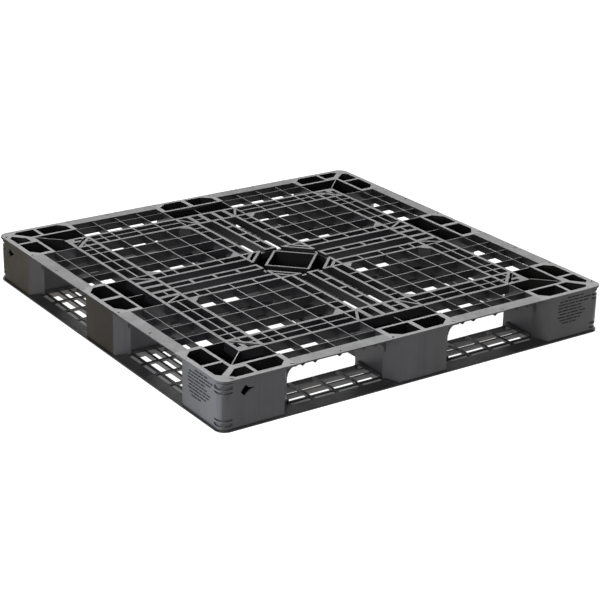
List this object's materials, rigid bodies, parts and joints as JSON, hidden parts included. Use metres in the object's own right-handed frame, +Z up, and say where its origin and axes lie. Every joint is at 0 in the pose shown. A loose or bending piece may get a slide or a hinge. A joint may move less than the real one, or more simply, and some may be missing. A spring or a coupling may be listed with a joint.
{
  "type": "plastic pallet",
  "caption": "Square four-way plastic pallet: open ribbed grid deck, hollow legs and slotted base frame around two crossing pairs of fork tunnels",
  "frame": {"origin": "centre of the underside of the base, on the floor", "axes": "+Z up through the load surface; +X and +Y square to the sides, each along one pair of fork tunnels; side s faces -Y"},
  "size_m": [1.1, 1.1, 0.12],
  "materials": {
    "deck_plastic": "moulded recycled polypropylene, near black, fine grain",
    "leg_plastic": "moulded recycled polypropylene, near black, faint flow bands",
    "base_plastic": "moulded recycled polypropylene, near black, fine grain"
  },
  "bodies": {
    "root": {"corner_leg_sw": "leg_plastic", "corner_leg_se": "leg_plastic", "corner_leg_ne": "leg_plastic", "corner_leg_nw": "leg_plastic", "leg_arm_sw_s": "leg_plastic", "leg_arm_se_e": "leg_plastic", "leg_arm_ne_n": "leg_plastic", "leg_arm_nw_w": "leg_plastic", "leg_arm_sw_w": "leg_plastic", "leg_arm_se_s": "leg_plastic", "leg_arm_ne_e": "leg_plastic", "leg_arm_nw_n": "leg_plastic", "side_leg_s": "leg_plastic", "side_leg_e": "leg_plastic", "side_leg_n": "leg_plastic", "side_leg_w": "leg_plastic", "centre_leg": "leg_plastic", "centre_tube": "deck_plastic", "border_s_left": "deck_plastic", "border_e_left": "deck_plastic", "border_n_left": "deck_plastic", "border_w_left": "deck_plastic", "border_s_right": "deck_plastic", "border_e_right": "deck_plastic", "border_n_right": "deck_plastic", "border_w_right": "deck_plastic", "inner_frame_s": "deck_plastic", "inner_frame_e": "deck_plastic", "inner_frame_n": "deck_plastic", "inner_frame_w": "deck_plastic", "cross_arm_s": "deck_plastic", "cross_arm_e": "deck_plastic", "cross_arm_n": "deck_plastic", "cross_arm_w": "deck_plastic", "field_grid_se": "deck_plastic", "field_grid_ne": "deck_plastic", "field_grid_nw": "deck_plastic", "field_grid_sw": "deck_plastic", "base_strip_s": "base_plastic", "base_strip_e": "base_plastic", "base_strip_n": "base_plastic", "base_strip_w": "base_plastic", "base_arm_s": "base_plastic", "base_arm_e": "base_plastic", "base_arm_n": "base_plastic", "base_arm_w": "base_plastic", "base_centre": "base_plastic"}
  },
  "joints": []
}
